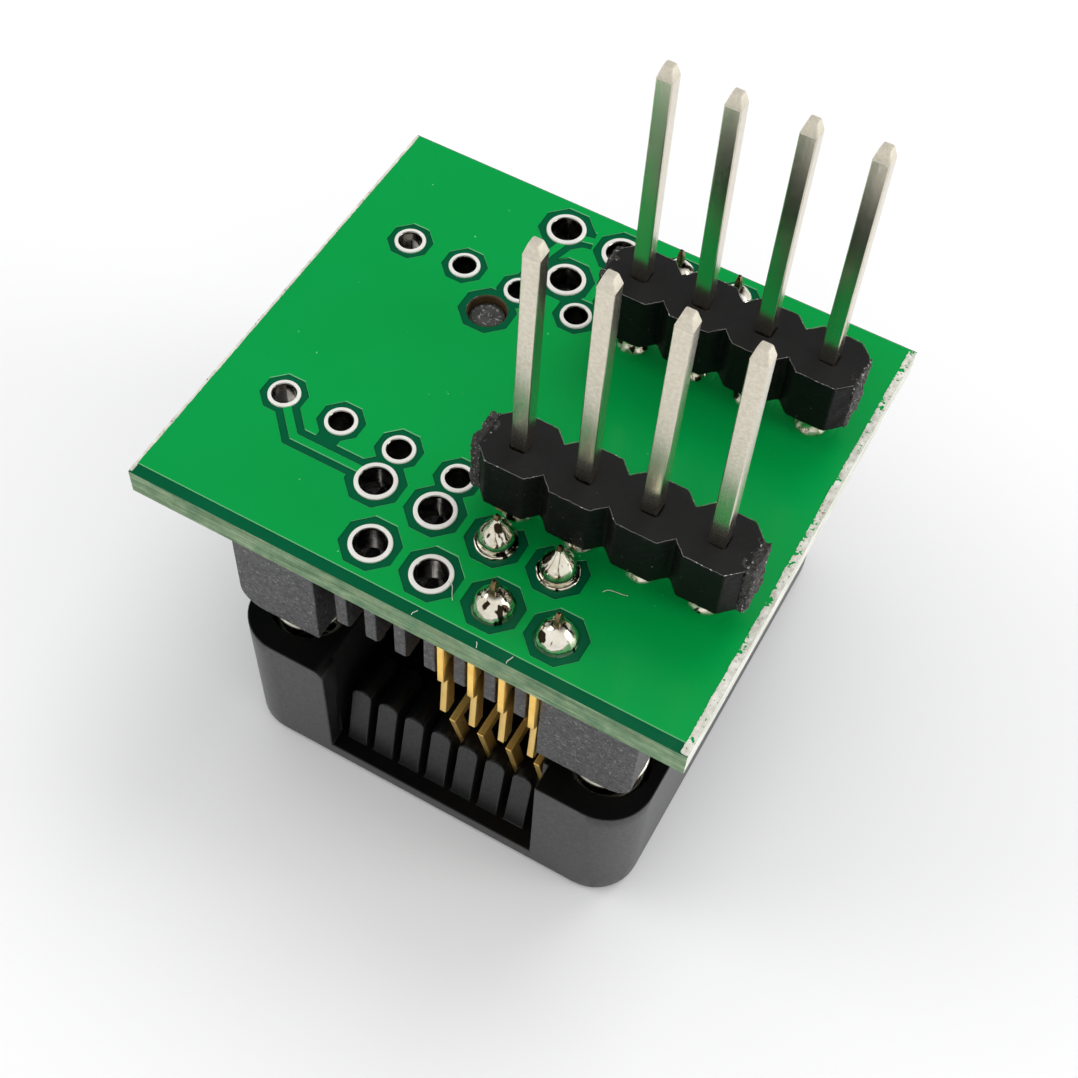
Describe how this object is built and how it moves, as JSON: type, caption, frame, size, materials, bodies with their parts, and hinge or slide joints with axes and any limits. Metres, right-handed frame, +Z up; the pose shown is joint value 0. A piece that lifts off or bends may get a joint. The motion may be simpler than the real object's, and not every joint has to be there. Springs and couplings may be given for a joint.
{
  "type": "ic programming adapter",
  "caption": "Small test socket soldered under a green circuit board with two rows of long header pins, for holding a surface-mount chip in a programmer.",
  "frame": {"origin": "centre of the footprint, on the surface that the socket cover stands on", "axes": "+Z up through the board along the header pins, +X along the header rows towards the fitted end, +Y towards the back row"},
  "size_m": [0.0228, 0.0208, 0.0295],
  "materials": {
    "board_laminate": "gloss",
    "masked_copper": "gloss",
    "tinned_pad": "satin",
    "base_plastic": "matt, speckled",
    "cover_plastic": "satin",
    "contact_metal": "gold plated",
    "spring_wire": "satin",
    "strip_plastic": "satin",
    "pin_metal": "matt tin plating",
    "solder": "bright"
  },
  "bodies": {
    "adapter": {"circuit_board": "board_laminate", "copper_pour": "masked_copper", "hole_pads": "tinned_pad", "socket_base": "base_plastic", "contact_front_1": "contact_metal", "contact_front_2": "contact_metal", "contact_front_3": "contact_metal", "contact_front_4": "contact_metal", "contact_back_1": "contact_metal", "contact_back_2": "contact_metal", "contact_back_3": "contact_metal", "contact_back_4": "contact_metal", "cover_spring_1": "spring_wire", "cover_spring_2": "spring_wire", "cover_spring_3": "spring_wire", "cover_spring_4": "spring_wire", "header_strip_front": "strip_plastic", "header_strip_back": "strip_plastic", "header_pin_front_1": "pin_metal", "header_pin_front_2": "pin_metal", "header_pin_front_3": "pin_metal", "header_pin_front_4": "pin_metal", "header_pin_back_1": "pin_metal", "header_pin_back_2": "pin_metal", "header_pin_back_3": "pin_metal", "header_pin_back_4": "pin_metal", "header_solder_front": "solder", "header_solder_back": "solder", "socket_solder_front": "solder", "socket_solder_back": "solder"},
    "cover": {"socket_cover": "cover_plastic"}
  },
  "joints": [
    {"name": "cover_press", "type": "slide", "parent": "adapter", "child": "cover", "axis": [0, 0, 1], "range_m": [0, 0.00165], "stiffness_N_per_m": 3000, "deforming": ["cover_spring_1", "cover_spring_2", "cover_spring_3", "cover_spring_4", "contact_front_1", "contact_front_2", "contact_front_3", "contact_front_4", "contact_back_1", "contact_back_2", "contact_back_3", "contact_back_4"]}
  ]
}
